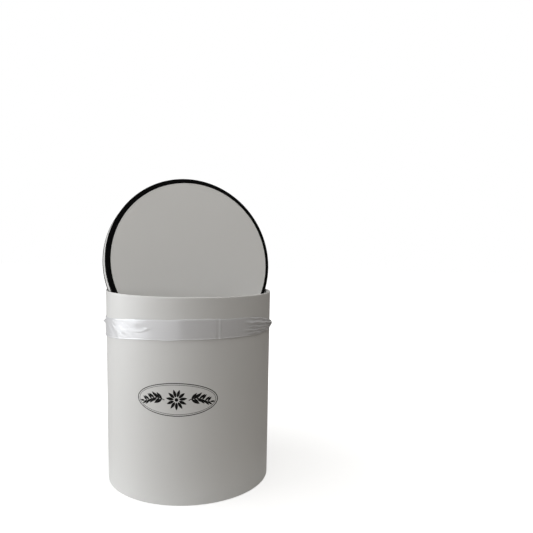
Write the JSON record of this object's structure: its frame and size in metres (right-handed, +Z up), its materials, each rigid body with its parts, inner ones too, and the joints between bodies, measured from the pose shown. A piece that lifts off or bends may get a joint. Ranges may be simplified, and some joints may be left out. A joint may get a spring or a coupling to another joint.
{
  "type": "flower box",
  "caption": "Round white flower box with a flat base, a lift-off lid with black edging standing in its mouth, and a satin ribbon carry handle.",
  "frame": {"origin": "centre of the base's underside", "axes": "+Z up along the box's axis; -Y towards the front, +X towards the right ribbon hole"},
  "size_m": [0.222, 0.221, 0.4044],
  "materials": {
    "board": "matte greyboard",
    "pearl_paper": "pearl white coated paper, soft sheen",
    "lining_paper": "matte white paper",
    "black_tape": "satin black edging tape",
    "satin_ribbon": "white satin, strong sheen"
  },
  "bodies": {
    "box": {"base_paper": "pearl_paper", "base_board": "board", "base_liner": "lining_paper", "wall_core": "board", "wall_wrap": "pearl_paper", "wall_liner": "lining_paper", "ribbon_end_left": "satin_ribbon", "ribbon_end_right": "satin_ribbon", "ribbon_knot_left": "satin_ribbon", "ribbon_knot_right": "satin_ribbon", "ribbon_tail_left": "satin_ribbon", "ribbon_tail_right": "satin_ribbon"},
    "handle": {"ribbon_band": "satin_ribbon"},
    "lid": {"lid_board": "board", "lid_rim_core": "board", "lid_top_paper": "pearl_paper", "lid_rim_wrap": "pearl_paper", "lid_disc_liner": "lining_paper", "lid_rim_liner": "lining_paper", "lid_top_trim": "black_tape", "lid_bottom_trim": "black_tape"}
  },
  "joints": [
    {"name": "lid_lift", "type": "slide", "parent": "box", "child": "lid", "axis": [0, 0, 1], "range_m": [0, 0.15]},
    {"name": "handle_swing", "type": "hinge", "parent": "box", "child": "handle", "pos_m": [0, 0, 0.256], "axis": [-1, 0, 0], "range_deg": [0, 30]}
  ]
}
